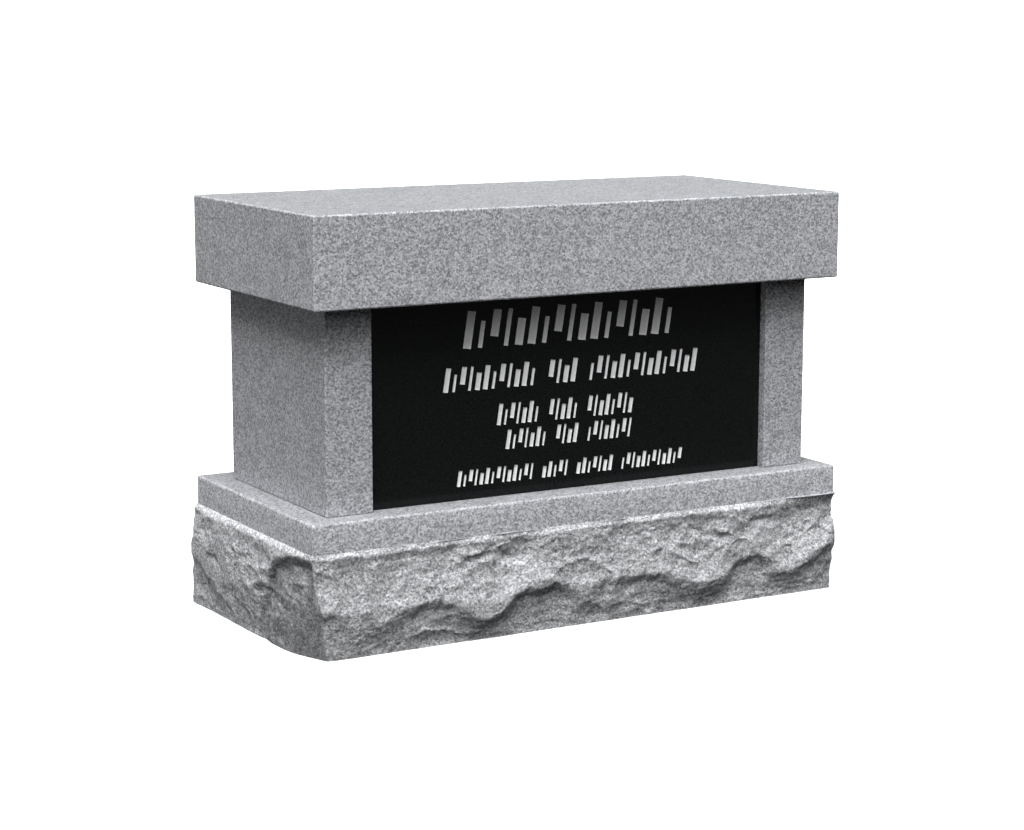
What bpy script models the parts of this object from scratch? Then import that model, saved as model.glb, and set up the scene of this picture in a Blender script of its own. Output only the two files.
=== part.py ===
"""Bench headstone in granite: a thick sawn seat on two slab legs, a black die with a cut
inscription between the legs, and one base stone with a smooth step above rock-pitched sides.

Metres, +Z up. The origin is the middle of the underside. The length runs along X, and the
inscribed face looks along -Y.
"""

import math
import random

import bmesh
import bpy
from mathutils import Matrix, Vector, noise
from mathutils.geometry import normal as plane_normal

# Driving dimensions, metres
SEAT_LENGTH = 0.9144
SEAT_DEPTH = 0.437
SEAT_THICKNESS = 0.1357
SEAT_EASING = 0.0025

LEG_WIDTH = 0.0752
LEG_DEPTH = 0.3394
LEG_HEIGHT = 0.3044
LEG_EASING = 0.0015
SEAT_END_OVERHANG = 0.0337
SEAT_FRONT_OVERHANG = 0.0403

PANEL_REVEAL = 0.0151
STROKE_DEPTH = 0.0012

STEP_LENGTH = 0.9265
STEP_DEPTH = 0.427
STEP_HEIGHT = 0.0453
STEP_EASING = 0.006
STEP_CORNER_RADIUS = 0.002

ROCK_HEIGHT = 0.1583
ROCK_PROUD = 0.014
ROCK_LEDGE = 0.0065
ROCK_ROUGHNESS = 0.003
ROCK_GRAIN = 0.055
WAVE_DEPTH = 0.0063
SCOOP_DEPTH = 0.0044
SCOOP_WIDTH = 0.056
CREST_RAGGEDNESS = 0.005
CREST_WANDER = 0.030
CORNER_REACH = 0.012

JOINT_GAP = 0.0003

# The inscription, as shares of the black face: for each row the height of its foot, the height
# of its strokes, its middle and its width across the face, and the strokes in each word
INSCRIPTION = (
    (0.748, 0.185, -0.004, 0.540, (17,)),
    (0.541, 0.120, 0.003, 0.650, (12, 4, 15)),
    (0.356, 0.107, -0.016, 0.350, (7, 5, 8)),
    (0.232, 0.098, -0.007, 0.325, (7, 4, 8)),
    (0.068, 0.080, 0.000, 0.580, (14, 5, 7, 12)),
)
WORD_GAP = 1.4
STROKE_LEAN = 9.0
# The strokes repeat in this order. Each is a bar: its width as a share of the stroke's own
# room, and the heights of its two ends as shares of the row's height
STROKE_KINDS = (
    (0.62, 0.00, 1.00),
    (0.34, 0.00, 0.72),
    (0.62, 0.28, 1.00),
    (0.34, 0.00, 1.00),
    (0.62, 0.00, 0.72),
)

# The rock face. A place is counted round the base from its front left corner: 0 to 1 along the
# front, 1 to 2 along the right side, 2 to 3 along the back and 3 to 4 along the left side.
# From place to place: the crest's height between the bites, as a share of the rock's height,
# how far the foot and the crest stand outside the step, how much the rock swells between its
# ledge and its crest, less than 0 where it is hollow, and how deep it is undercut in a bite
ROCK_FORM = (
    (0.00, 0.34, -0.002, 0.0115, -0.006, 0.005),
    (0.35, 0.30, -0.002, 0.0120, -0.007, 0.007),
    (0.60, 0.24, -0.003, 0.0120, -0.007, 0.011),
    (1.00, 0.24, -0.003, 0.0120, -0.008, 0.011),
    (1.50, 0.24, 0.004, 0.0125, -0.005, 0.010),
    (2.50, 0.24, 0.004, 0.0125, -0.005, 0.010),
    (3.00, 0.24, 0.008, 0.0120, 0.000, 0.008),
    (3.20, 0.45, 0.006, 0.0135, 0.002, 0.006),
    (3.85, 0.45, 0.004, 0.0135, 0.002, 0.006),
    (4.00, 0.34, -0.002, 0.0115, -0.006, 0.005),
)
# Each bite is its place, its half width and the height of its crest as a share of the rock
SHOWN_BITES = (
    (3.03, 0.20, 0.52),
    (3.98, 0.12, 0.47),
    (0.209, 0.115, 0.49),
    (0.420, 0.120, 0.46),
    (0.590, 0.130, 0.44),
    (0.823, 0.080, 0.47),
    (1.000, 0.090, 0.50),
)
HIDDEN_BITES = 9
HIDDEN_SEED = 7
# Each shelf is how deep the rock falls back under its lip, how far down it has come forward
# again, and the lip's line: places and heights, the heights as shares of the rock's height
SHELVES = (
    (0.006, 0.020, ((0.232, 0.72), (0.266, 0.80), (0.320, 0.93), (0.372, 0.74))),
    (0.008, 0.016, ((0.690, 0.89), (0.730, 0.79), (0.775, 0.74))),
    (0.004, 0.018, ((0.655, 0.70), (0.707, 0.50), (0.740, 0.34))),
    (0.006, 0.020, ((0.812, 0.84), (0.850, 0.87), (0.885, 0.84))),
    (0.007, 0.024, ((0.930, 0.76), (0.955, 0.72), (0.985, 0.65))),
    (0.005, 0.016, ((0.885, 0.28), (0.915, 0.33), (0.940, 0.27))),
    (0.004, 0.016, ((0.420, 0.72), (0.470, 0.66), (0.540, 0.68))),
    (0.004, 0.014, ((0.055, 0.66), (0.110, 0.60), (0.150, 0.64))),
    (0.013, 0.100, ((3.570, 0.10), (3.650, 0.53), (3.720, 0.80), (3.810, 0.95), (4.060, 0.98))),
    (0.006, 0.022, ((3.130, 0.60), (3.200, 0.66), (3.290, 0.56))),
    (0.005, 0.020, ((3.340, 0.80), (3.430, 0.74), (3.540, 0.80))),
    (0.006, 0.024, ((3.560, 0.50), (3.650, 0.56), (3.740, 0.46))),
    (0.006, 0.022, ((1.200, 0.76), (1.300, 0.84), (1.420, 0.72))),
    (0.005, 0.020, ((1.620, 0.80), (1.720, 0.70), (1.800, 0.78))),
    (0.006, 0.022, ((2.180, 0.84), (2.260, 0.74), (2.340, 0.80))),
    (0.005, 0.020, ((2.620, 0.70), (2.700, 0.80), (2.790, 0.74))),
)
# A broken corner reaches this far along X and along Y at the foot, and its plane meets the
# corner at this share of the rock's height. They run round from the front left corner
CORNER_BREAKS = (
    (0.045, 0.125, 1.25),
    (0.030, 0.030, 1.90),
    (0.036, 0.028, 1.20),
    (0.006, 0.006, 2.00),
)
BREAK_SOFTNESS = 0.004
# How the rock's relief is drawn out: the grain of its slow waves, of the crest's wander and
# raggedness, of the swell's patches, and the slices of noise that they are read from
WAVE_GRAIN = 0.17
WAVE_FINE_GRAIN = 0.08
WANDER_GRAIN = 0.05
RAGGED_GRAIN = 0.020
RAGGED_FINE_GRAIN = 0.007
SWELL_GRAIN = 0.06
CREST_SLICE = 0.3
SWELL_SLICE = 0.9
# The swell's mean share and its variation, and where it is fullest
SWELL_SHARE = 0.75
SWELL_VARIATION = 0.9
SWELL_RISE = 0.65
LEDGE_SWEEP = 1.3
# The hollow under the crest: its share between the bites, and as shares of the crest's height,
# how soon it is fully in and where the foot starts to come forward
UNDERCUT_SHARE = 0.25
UNDERCUT_REACH = 0.30
FOOT_START = 0.10
# A shelf fades in along its line, falls back under its lip and comes forward again
SHELF_FADE = 0.2
SHELF_LIP = 0.3
SHELF_RETURN = 1.2
# The relief is calmer by the ledge and the foot, and it is wider than it is high
CALM_HEIGHT = 0.018
CALM_BELOW_FOOT = 0.006
CALM_SHARE = 0.12
RELIEF_STRETCH = 1.7
# A scoop: how its outline is warped, how its floor is tilted, and its steepness and ridge
SCOOP_WARP_GRAIN = 1.1
SCOOP_WARP = 0.45
SCOOP_TILT_SPREAD = 7.3
SCOOP_STEEPNESS = 1.5
SCOOP_RIDGE = 1.2
SCOOP_MIDDLE = 0.45
ROCK_STATION = 0.0145
ROCK_LEVELS = 12
CREST_SHARE = 0.45
LEVEL_CLOSING = 1.15
CORNER_SEGMENTS = 2
EASED_EDGE_TURNS = (30, 60, 90)

# Places that follow from them
STEP_TOP = ROCK_HEIGHT + STEP_HEIGHT
LEG_FOOT = STEP_TOP + JOINT_GAP
SEAT_UNDERSIDE = LEG_FOOT + LEG_HEIGHT + JOINT_GAP
LEG_OUTER_X = SEAT_LENGTH / 2 - SEAT_END_OVERHANG
LEG_FRONT_Y = -SEAT_DEPTH / 2 + SEAT_FRONT_OVERHANG
LEG_MIDDLE_Y = LEG_FRONT_Y + LEG_DEPTH / 2
PANEL_LENGTH = 2 * (LEG_OUTER_X - LEG_WIDTH - JOINT_GAP)
PANEL_DEPTH = LEG_DEPTH - 2 * PANEL_REVEAL
PANEL_HEIGHT = SEAT_UNDERSIDE - STEP_TOP - 2 * JOINT_GAP
PANEL_FRONT_Y = LEG_FRONT_Y + PANEL_REVEAL


def clear_scene():
    for thing in list(bpy.data.objects):
        bpy.data.objects.remove(thing, do_unlink=True)


def new_collection(name):
    collection = bpy.data.collections.new(name)
    bpy.context.scene.collection.children.link(collection)
    return collection


def stone(name, colour, roughness):
    """A plain stone finish."""
    material = bpy.data.materials.new(name)
    material.use_nodes = True
    shader = material.node_tree.nodes["Principled BSDF"]
    shader.inputs["Base Color"].default_value = (*colour, 1.0)
    shader.inputs["Roughness"].default_value = roughness
    shader.inputs["Metallic"].default_value = 0.0
    return material


def object_from(name, bm, collection, material=None):
    mesh = bpy.data.meshes.new(name)
    bm.to_mesh(mesh)
    bm.free()
    thing = bpy.data.objects.new(name, mesh)
    if material:
        mesh.materials.append(material)
    collection.objects.link(thing)
    return thing


def sawn_block(name, size, middle, easing, collection, material):
    """A sawn block with eased edges."""
    bm = bmesh.new()
    bmesh.ops.create_cube(bm, size=1.0, matrix=Matrix.Diagonal((*size, 1.0)))
    block = object_from(name, bm, collection, material)
    block.location = middle
    if easing:
        bevel = block.modifiers.new("eased edges", "BEVEL")
        bevel.width = easing
        bevel.segments = 2
        bevel.limit_method = "NONE"
    return block


def add_bar(bm, row_middle, x, low, high, width):
    """One leaning bar that is to be cut into the black face, between two heights."""
    lean = math.radians(STROKE_LEAN)
    middle_z = (low + high) / 2
    centre = Vector((x + (middle_z - row_middle) * math.tan(lean), PANEL_FRONT_Y, middle_z))
    size = Matrix.Diagonal((width, 2 * STROKE_DEPTH, high - low, 1.0))
    turn = Matrix.Rotation(lean, 4, "Y")
    bmesh.ops.create_cube(bm, size=1.0, matrix=Matrix.Translation(centre) @ turn @ size)


def inscription_row(number, row, collection):
    """The cutter of one row: words made of bars in a repeating order, none touching another."""
    foot, height, middle, width, words = row
    foot_z = STEP_TOP + JOINT_GAP + foot * PANEL_HEIGHT
    height *= PANEL_HEIGHT
    room = width * PANEL_LENGTH / (sum(words) + (len(words) - 1) * WORD_GAP)
    x = (middle - width / 2) * PANEL_LENGTH + room / 2
    bm = bmesh.new()
    count = 0
    for word in words:
        for _ in range(word):
            share, low, high = STROKE_KINDS[count % len(STROKE_KINDS)]
            ends = (foot_z + low * height, foot_z + high * height)
            add_bar(bm, foot_z + height / 2, x, *ends, share * room)
            x += room
            count += 1
        x += room * WORD_GAP
    cutter = object_from(f"inscription_row_{number}", bm, collection)
    cutter.hide_render = True
    cutter.display_type = "WIRE"
    return cutter


def hidden_bites():
    """Bites on the right side and the back, spread evenly and varied a little."""
    draw = random.Random(HIDDEN_SEED)
    bites = []
    for index in range(HIDDEN_BITES):
        place = 1.2 + 1.7 * index / (HIDDEN_BITES - 1) + draw.uniform(-0.04, 0.04)
        bites.append((place, draw.uniform(0.09, 0.14), draw.uniform(0.34, 0.52)))
    return bites


BITES = SHOWN_BITES + tuple(hidden_bites())


def smooth(value):
    """0 below 0, 1 above 1, and a soft step between."""
    value = min(max(value, 0.0), 1.0)
    return value * value * (3 - 2 * value)


def apart(place, other):
    """How far apart two places round the base are, the shorter way round."""
    gap = abs(place - other) % 4
    return min(gap, 4 - gap)


def outline_place(x, y):
    """The place round the base of a point on the step's outline, and the way that it faces."""
    half_x = STEP_LENGTH / 2
    half_y = STEP_DEPTH / 2
    inner_x = half_x - STEP_CORNER_RADIUS
    inner_y = half_y - STEP_CORNER_RADIUS
    facing = Vector((x - min(max(x, -inner_x), inner_x), y - min(max(y, -inner_y), inner_y)))
    facing.normalize()
    if abs(facing.y) >= abs(facing.x):
        share = (x + half_x) / STEP_LENGTH
        place = share if facing.y < 0 else 3 - share
    else:
        share = (y + half_y) / STEP_DEPTH
        place = 1 + share if facing.x > 0 else 4 - share
    return place, facing


def rock_form(place):
    """The crest's usual height at a place, and the rock's foot, crest, swell and undercut."""
    for first, last in zip(ROCK_FORM, ROCK_FORM[1:]):
        if place <= last[0]:
            share = smooth((place - first[0]) / (last[0] - first[0]))
            return [low + (high - low) * share for low, high in zip(first[1:], last[1:])]
    return ROCK_FORM[-1][1:]


def crest(place, x, y):
    """The crest's height at a place, and how deep the bite under it goes there, 0 to 1."""
    along = Vector((x, y, CREST_SLICE))
    place += CREST_WANDER * noise.noise(along / WANDER_GRAIN)
    height = rock_form(place)[0]
    deepest = 0.0
    for centre, half_width, bite_height in BITES:
        weight = max(0.0, 1 - (apart(place, centre) / half_width) ** 3)
        height += weight * (bite_height - height)
        deepest = max(deepest, weight)
    ragged = noise.noise(along / RAGGED_GRAIN) + 0.5 * noise.noise(along / RAGGED_FINE_GRAIN)
    return height * ROCK_HEIGHT + CREST_RAGGEDNESS * ragged, deepest


def scoop(point, size):
    """A scoop burst out of the rock: low in its middle, high on the sharp ridge to the next."""
    point = point + noise.noise_vector(point / (size * SCOOP_WARP_GRAIN)) * (size * SCOOP_WARP)
    near, centres = noise.voronoi(point / size)[:2]
    tilt = noise.cell_vector(centres[0] * SCOOP_TILT_SPREAD) - Vector((0.5, 0.5, 0.5))
    bowl = min(SCOOP_RIDGE, SCOOP_STEEPNESS * near[0] * near[0]) - SCOOP_MIDDLE
    return bowl + tilt.dot(point / size - centres[0])


def shelves(place, z):
    """How deep the rock falls back below its shelves, where a burst ended under a lip."""
    depth = 0.0
    for fall_back, reach, line in SHELVES:
        if not line[0][0] < place < line[-1][0]:
            continue
        share = (place - line[0][0]) / (line[-1][0] - line[0][0])
        for (start, low), (end, high) in zip(line, line[1:]):
            if start <= place <= end:
                level = low + (high - low) * (place - start) / (end - start)
        below = (level * ROCK_HEIGHT - z) / reach
        if 0 < below < 1:
            fade = smooth(min(share, 1 - share) / SHELF_FADE)
            depth += fall_back * fade * smooth(below / SHELF_LIP) * (1 - below) ** SHELF_RETURN
    return depth


def rock_face(place, point):
    """How far the rock stands outside the step's face at a point of the step's outline."""
    z = point.z
    crest_z, deepest = crest(place, point.x, point.y)
    foot, proud, swell, undercut = rock_form(place)[1:]
    proud += WAVE_DEPTH * (noise.noise(point / WAVE_GRAIN) + 0.5 * noise.noise(point / WAVE_FINE_GRAIN))
    if z >= crest_z:
        fall = (ROCK_HEIGHT - z) / (ROCK_HEIGHT - crest_z)
        out = ROCK_LEDGE + (proud - ROCK_LEDGE) * fall**LEDGE_SWEEP
        patch = noise.noise(Vector((point.x, point.y, SWELL_SLICE)) / SWELL_GRAIN)
        strength = SWELL_SHARE + SWELL_VARIATION * patch
        out += swell * strength * math.sin(math.pi * min(1.0, fall) ** SWELL_RISE)
    else:
        drop = (crest_z - z) / crest_z
        hollow = proud - undercut * (UNDERCUT_SHARE + (1 - UNDERCUT_SHARE) * deepest)
        out = proud + (hollow - proud) * smooth(drop / UNDERCUT_REACH)
        out += (foot - hollow) * smooth((drop - FOOT_START) / (1 - FOOT_START))
    out -= shelves(place, z)
    inside = smooth(min(z + CALM_BELOW_FOOT, ROCK_HEIGHT - z) / CALM_HEIGHT)
    flat = Vector((point.x, point.y, z * RELIEF_STRETCH))
    rough = noise.fractal(point / ROCK_GRAIN, 1.0, 2.1, 3, noise_basis="PERLIN_NEW")
    relief = SCOOP_DEPTH * scoop(flat, SCOOP_WIDTH) + ROCK_ROUGHNESS * rough
    out += relief * (CALM_SHARE + (1 - CALM_SHARE) * inside)
    return min(out, ROCK_PROUD)


def corner_plane(corner):
    """The broken face at a corner, as a point on it and the way that it faces."""
    reach_x, reach_y, top = CORNER_BREAKS[corner]
    sign_x = (-1, 1, 1, -1)[corner]
    sign_y = (-1, -1, 1, 1)[corner]
    corner_x = sign_x * (STEP_LENGTH / 2 + CORNER_REACH)
    corner_y = sign_y * (STEP_DEPTH / 2 + CORNER_REACH)
    summit = Vector((corner_x, corner_y, top * ROCK_HEIGHT))
    along_x = Vector((corner_x - sign_x * reach_x, corner_y, 0.0))
    along_y = Vector((corner_x, corner_y - sign_y * reach_y, 0.0))
    facing = plane_normal((summit, along_x, along_y))
    if facing.x * sign_x < 0:
        facing.negate()
    return summit, facing


def broken_back(point, planes):
    """A point of the rock, moved level back to the broken face of a corner that it is past."""
    for summit, facing in planes:
        past = facing.dot(point - summit) / BREAK_SOFTNESS
        if past > -5:
            past = past if past > 20 else math.log1p(math.exp(past))
            level = Vector((facing.x, facing.y, 0.0))
            point = point - level * (past * BREAK_SOFTNESS / level.length_squared)
    return point


def warped_height(share, crest_z):
    """The height of a level, closed up so that one level runs along the crest."""
    if share <= CREST_SHARE:
        return crest_z * share / CREST_SHARE
    rise = (share - CREST_SHARE) / (1 - CREST_SHARE)
    return crest_z + (ROCK_HEIGHT - crest_z) * (1 - (1 - rise) ** LEVEL_CLOSING)


def edges_along(bm, axis):
    """The straight edges of the open block that run along an axis."""
    found = []
    for edge in bm.edges:
        run = edge.verts[1].co - edge.verts[0].co
        if abs(run[axis]) > 0.999 * run.length:
            found.append(edge)
    return found


def level_edges(bm, level):
    """The ring of edges that lies at a level."""
    return [edge for edge in bm.edges if all(abs(vert.co.z - level) < 1e-5 for vert in edge.verts)]


def raise_ring(bm, ring, level, drawn_in, outline):
    """Extrudes the top ring to a level, drawn in from the step's outline."""
    made = bmesh.ops.extrude_edge_only(bm, edges=ring)["geom"]
    edges = [item for item in made if isinstance(item, bmesh.types.BMEdge)]
    scale_x = 1 - drawn_in / (STEP_LENGTH / 2)
    scale_y = 1 - drawn_in / (STEP_DEPTH / 2)
    for vert in (item for item in made if isinstance(item, bmesh.types.BMVert)):
        place = outline[vert.co.copy().freeze()]
        vert.co = (place.x * scale_x, place.y * scale_y, level)
        outline[vert.co.copy().freeze()] = place
    return edges


def open_block(bm):
    """The step's outline, carried down to the ground, with upright round corners and no ends."""
    size = Matrix.Diagonal((STEP_LENGTH, STEP_DEPTH, ROCK_HEIGHT, 1.0))
    lift = Matrix.Translation((0, 0, ROCK_HEIGHT / 2))
    bmesh.ops.create_cube(bm, size=1.0, matrix=lift @ size)
    ends = [face for face in bm.faces if abs(face.normal.z) > 0.5]
    bmesh.ops.delete(bm, geom=ends, context="FACES_ONLY")
    bmesh.ops.bevel(
        bm,
        geom=edges_along(bm, 2),
        offset=STEP_CORNER_RADIUS,
        segments=CORNER_SEGMENTS,
        profile=0.5,
        affect="EDGES",
        material=-1,
    )
    for axis, length in ((0, STEP_LENGTH), (1, STEP_DEPTH)):
        cuts = round(length / ROCK_STATION)
        bmesh.ops.subdivide_edges(bm, edges=edges_along(bm, axis), cuts=cuts)
    bmesh.ops.subdivide_edges(bm, edges=edges_along(bm, 2), cuts=ROCK_LEVELS - 1)


def base_stone(collection, material):
    """The base: rock-pitched sides up to a sharp ledge, then the smooth step with an eased top."""
    bm = bmesh.new()
    open_block(bm)
    foot = level_edges(bm, 0.0)
    ring = level_edges(bm, ROCK_HEIGHT)
    planes = [corner_plane(corner) for corner in range(4)]
    outline = {}
    for vert in bm.verts:
        place, facing = outline_place(vert.co.x, vert.co.y)
        point = vert.co.copy()
        point.z = warped_height(point.z / ROCK_HEIGHT, crest(place, point.x, point.y)[0])
        sawn = point.copy()
        point += facing.to_3d() * rock_face(place, point)
        vert.co = broken_back(point, planes)
        outline[vert.co.copy().freeze()] = sawn
    ring = raise_ring(bm, ring, ROCK_HEIGHT, 0.0, outline)
    ring = raise_ring(bm, ring, STEP_TOP - STEP_EASING, 0.0, outline)
    for turn in EASED_EDGE_TURNS:
        angle = math.radians(turn)
        level = STEP_TOP - STEP_EASING * (1 - math.sin(angle))
        ring = raise_ring(bm, ring, level, STEP_EASING * (1 - math.cos(angle)), outline)
    bmesh.ops.contextual_create(bm, geom=ring)
    bmesh.ops.contextual_create(bm, geom=foot)
    bmesh.ops.recalc_face_normals(bm, faces=bm.faces)
    return object_from("base", bm, collection, material)


def legs(collection, material):
    size = (LEG_WIDTH, LEG_DEPTH, LEG_HEIGHT)
    for name, side in (("leg_left", -1), ("leg_right", 1)):
        middle = (side * (LEG_OUTER_X - LEG_WIDTH / 2), LEG_MIDDLE_Y, LEG_FOOT + LEG_HEIGHT / 2)
        sawn_block(name, size, middle, LEG_EASING, collection, material)


def seat(collection, material):
    size = (SEAT_LENGTH, SEAT_DEPTH, SEAT_THICKNESS)
    middle = (0, 0, SEAT_UNDERSIDE + SEAT_THICKNESS / 2)
    sawn_block("seat", size, middle, SEAT_EASING, collection, material)


def panel(collection, cutters, material):
    size = (PANEL_LENGTH, PANEL_DEPTH, PANEL_HEIGHT)
    middle = (0, LEG_MIDDLE_Y, STEP_TOP + JOINT_GAP + PANEL_HEIGHT / 2)
    block = sawn_block("panel", size, middle, 0, collection, material)
    for number, row in enumerate(INSCRIPTION, 1):
        cut = block.modifiers.new(f"row {number}", "BOOLEAN")
        cut.operation = "DIFFERENCE"
        cut.solver = "EXACT"
        cut.object = inscription_row(number, row, cutters)


clear_scene()
bench = new_collection("bench_headstone")
cutters = new_collection("cutters")
base_stone(bench, stone("base granite", (0.36, 0.37, 0.39), 0.75))
legs(bench, stone("leg granite", (0.30, 0.31, 0.33), 0.55))
panel(bench, cutters, stone("black granite", (0.008, 0.009, 0.009), 0.12))
seat(bench, stone("seat granite", (0.38, 0.39, 0.41), 0.55))
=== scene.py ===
"""The looks of the granite bench headstone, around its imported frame."""

import math
import random

import bmesh
import bpy
from mathutils import Matrix, Vector, noise
from mathutils.geometry import normal as plane_normal


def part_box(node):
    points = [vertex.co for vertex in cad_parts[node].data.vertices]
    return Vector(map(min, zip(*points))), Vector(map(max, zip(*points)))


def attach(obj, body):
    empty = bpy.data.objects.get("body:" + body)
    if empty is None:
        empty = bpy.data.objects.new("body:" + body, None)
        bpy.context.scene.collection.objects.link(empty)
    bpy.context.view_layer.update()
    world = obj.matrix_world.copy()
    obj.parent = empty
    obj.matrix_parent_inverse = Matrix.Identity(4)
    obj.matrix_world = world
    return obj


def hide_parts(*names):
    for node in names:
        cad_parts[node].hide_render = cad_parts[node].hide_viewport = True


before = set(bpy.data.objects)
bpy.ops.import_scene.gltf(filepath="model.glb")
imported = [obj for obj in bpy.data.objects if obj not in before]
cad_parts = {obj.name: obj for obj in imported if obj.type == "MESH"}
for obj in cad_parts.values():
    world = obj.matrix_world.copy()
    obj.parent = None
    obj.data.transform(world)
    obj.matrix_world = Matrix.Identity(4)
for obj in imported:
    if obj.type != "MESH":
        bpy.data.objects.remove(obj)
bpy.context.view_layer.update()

# The photograph's view
# The picture was taken from the front left, a little above the seat, with a long lens.
# These values come from a camera fitted to the edges of the sawn stones.
EYE = Vector((-1.8328, -3.1770, 0.9257))
EYE_YAW = math.radians(-29.797)
EYE_PITCH = math.radians(-9.80)
EYE_ROLL = math.radians(0.057)
LENS_MM = 82.38
SENSOR_MM = 36.0
FARTHEST = 100.0

looking = Vector((
    -math.sin(EYE_YAW) * math.cos(EYE_PITCH),
    math.cos(EYE_YAW) * math.cos(EYE_PITCH),
    math.sin(EYE_PITCH),
))
level_right = Vector((math.cos(EYE_YAW), math.sin(EYE_YAW), 0.0))
level_up = level_right.cross(looking)
eye_right = level_right * math.cos(EYE_ROLL) + level_up * math.sin(EYE_ROLL)
eye_up = level_up * math.cos(EYE_ROLL) - level_right * math.sin(EYE_ROLL)
lens = bpy.data.cameras.new("camera")
lens.sensor_width = SENSOR_MM
lens.lens = LENS_MM
lens.clip_end = FARTHEST
camera = bpy.data.objects.new("camera", lens)
eye_turn = Matrix((eye_right, eye_up, -looking)).transposed().to_4x4()
camera.matrix_world = Matrix.Translation(EYE) @ eye_turn
bpy.context.scene.collection.objects.link(camera)
bpy.context.scene.camera = camera

# The base stone
# One block of grey granite. Its sides were rock-pitched: a pitching tool struck along a sharp
# upper ledge burst scoops out of them, over a crest that hangs above the undercut foot. The
# step above the ledge is sawn and steeled, with an eased top edge, and it carries the legs.
base_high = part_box("base")[1]
STEP_LENGTH = 0.9265
STEP_DEPTH = 0.427
STEP_HEIGHT = 0.0453
STEP_CORNER_RADIUS = 0.002
CORNER_SEGMENTS = 2
STEP_TOP = base_high.z
ROCK_HEIGHT = STEP_TOP - STEP_HEIGHT
ROCK_PROUD = base_high.x - STEP_LENGTH / 2
ROCK_LEDGE = 0.0065
ROCK_MESH = 0.0023

# The step's top edge is eased a little less than on the solid, where it is 6 mm
STEP_EASING = 0.0045
EASED_EDGE_TURNS = (22.5, 45, 67.5, 90)

# A place is counted round the base from its front left corner: 0 to 1 along the front, 1 to 2
# along the right side, 2 to 3 along the back and 3 to 4 along the left side.

# Each row is a place and what the rock has there: the crest's height between the bites, as a
# share of the rock's height, how far the foot and the crest stand outside the step, how much
# the rock swells between its ledge and its crest, less than 0 where it is hollow, and how deep
# it is undercut in a bite.
ROCK_FORM = (
    (0.00, 0.36, -0.002, 0.0115, -0.006, 0.006),
    (0.12, 0.36, -0.002, 0.0115, -0.006, 0.006),
    (0.31, 0.27, -0.002, 0.0120, -0.007, 0.008),
    (0.60, 0.30, -0.002, 0.0120, -0.007, 0.0095),
    (0.80, 0.32, -0.002, 0.0120, -0.007, 0.0085),
    (0.95, 0.34, -0.001, 0.0120, -0.010, 0.006),
    (1.50, 0.24, 0.004, 0.0125, -0.005, 0.010),
    (2.50, 0.24, 0.004, 0.0125, -0.005, 0.010),
    (3.00, 0.24, 0.013, 0.0125, 0.005, 0.004),
    (3.20, 0.45, 0.008, 0.0135, 0.003, 0.005),
    (3.85, 0.45, 0.004, 0.0135, 0.002, 0.006),
    (4.00, 0.36, -0.002, 0.0115, -0.006, 0.006),
)

# Each bite is its place, its half width and the height of its crest as a share of the rock
SHOWN_BITES = (
    (3.03, 0.20, 0.52),
    (4.00, 0.08, 0.47),
    (0.205, 0.094, 0.47),
    (0.402, 0.122, 0.46),
    (0.575, 0.150, 0.44),
    (0.823, 0.080, 0.47),
    (1.000, 0.090, 0.50),
)
BITE_STEEPNESS = 1.3

# The bites that the picture doesn't show, on the right side and the back
HIDDEN_BITES = 9
HIDDEN_SEED = 7
HIDDEN_START = 1.2
HIDDEN_STRETCH = 1.7
HIDDEN_SHIFT = 0.08
HIDDEN_HALF_WIDTHS = (0.08, 0.17)
HIDDEN_HEIGHTS = (0.32, 0.56)

# Each shelf is how far the rock falls back below its lip, how far down that reaches, and the
# lip's line, as places and heights. The corner's lip runs over the broken front left corner.
CORNER_LIP = ((3.570, 0.10), (3.650, 0.53), (3.720, 0.80), (3.810, 0.95), (4.060, 0.98))
SHELVES = (
    (0.006, 0.020, ((0.232, 0.72), (0.266, 0.80), (0.320, 0.93), (0.372, 0.74))),
    (0.008, 0.016, ((0.690, 0.89), (0.730, 0.79), (0.775, 0.74))),
    (0.005, 0.022, ((0.812, 0.84), (0.850, 0.87), (0.885, 0.84))),
    (0.005, 0.026, ((0.930, 0.76), (0.955, 0.72), (0.985, 0.65))),
    (0.011, 0.100, CORNER_LIP),
    (0.006, 0.022, ((3.130, 0.60), (3.200, 0.66), (3.290, 0.56))),
    (0.005, 0.020, ((3.340, 0.80), (3.430, 0.74), (3.540, 0.80))),
    (0.006, 0.024, ((3.560, 0.50), (3.650, 0.56), (3.740, 0.46))),
    (0.006, 0.022, ((1.200, 0.76), (1.300, 0.84), (1.420, 0.72))),
    (0.005, 0.020, ((1.620, 0.80), (1.720, 0.70), (1.800, 0.78))),
    (0.006, 0.022, ((2.180, 0.84), (2.260, 0.74), (2.340, 0.80))),
    (0.005, 0.020, ((2.620, 0.70), (2.700, 0.80), (2.790, 0.74))),
)
LIP_RAGGEDNESS = 0.005
LIP_GRAIN = 0.013
LIP_FINE_RAGGEDNESS = 0.003
LIP_FINE_GRAIN = 0.005
SHELF_FADE = 0.2
SHELF_LIP = 0.006
SHELF_LIP_SHARE = 0.14
SHELF_RETURN = 1.2
SHELF_BELOW_LEDGE = 0.014

# Each corner is broken back, from the front left one round. A break is how far it reaches at
# the ground along the length and along the depth, and how high it meets the corner, as a
# share of the rock's height.
CORNER_BREAKS = (
    (0.042, 0.108, 1.25),
    (0.022, 0.022, 1.90),
    (0.036, 0.028, 1.20),
    (0.003, 0.003, 2.00),
)
CORNER_SIGNS = ((-1, -1), (1, -1), (1, 1), (-1, 1))
CORNER_REACH = 0.012
# The edge of a break is rounded over a few softnesses, and past the last the face is flat
BREAK_SOFTNESS = 0.004
SOFT_FROM = -5
SOFT_TO = 20

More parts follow.
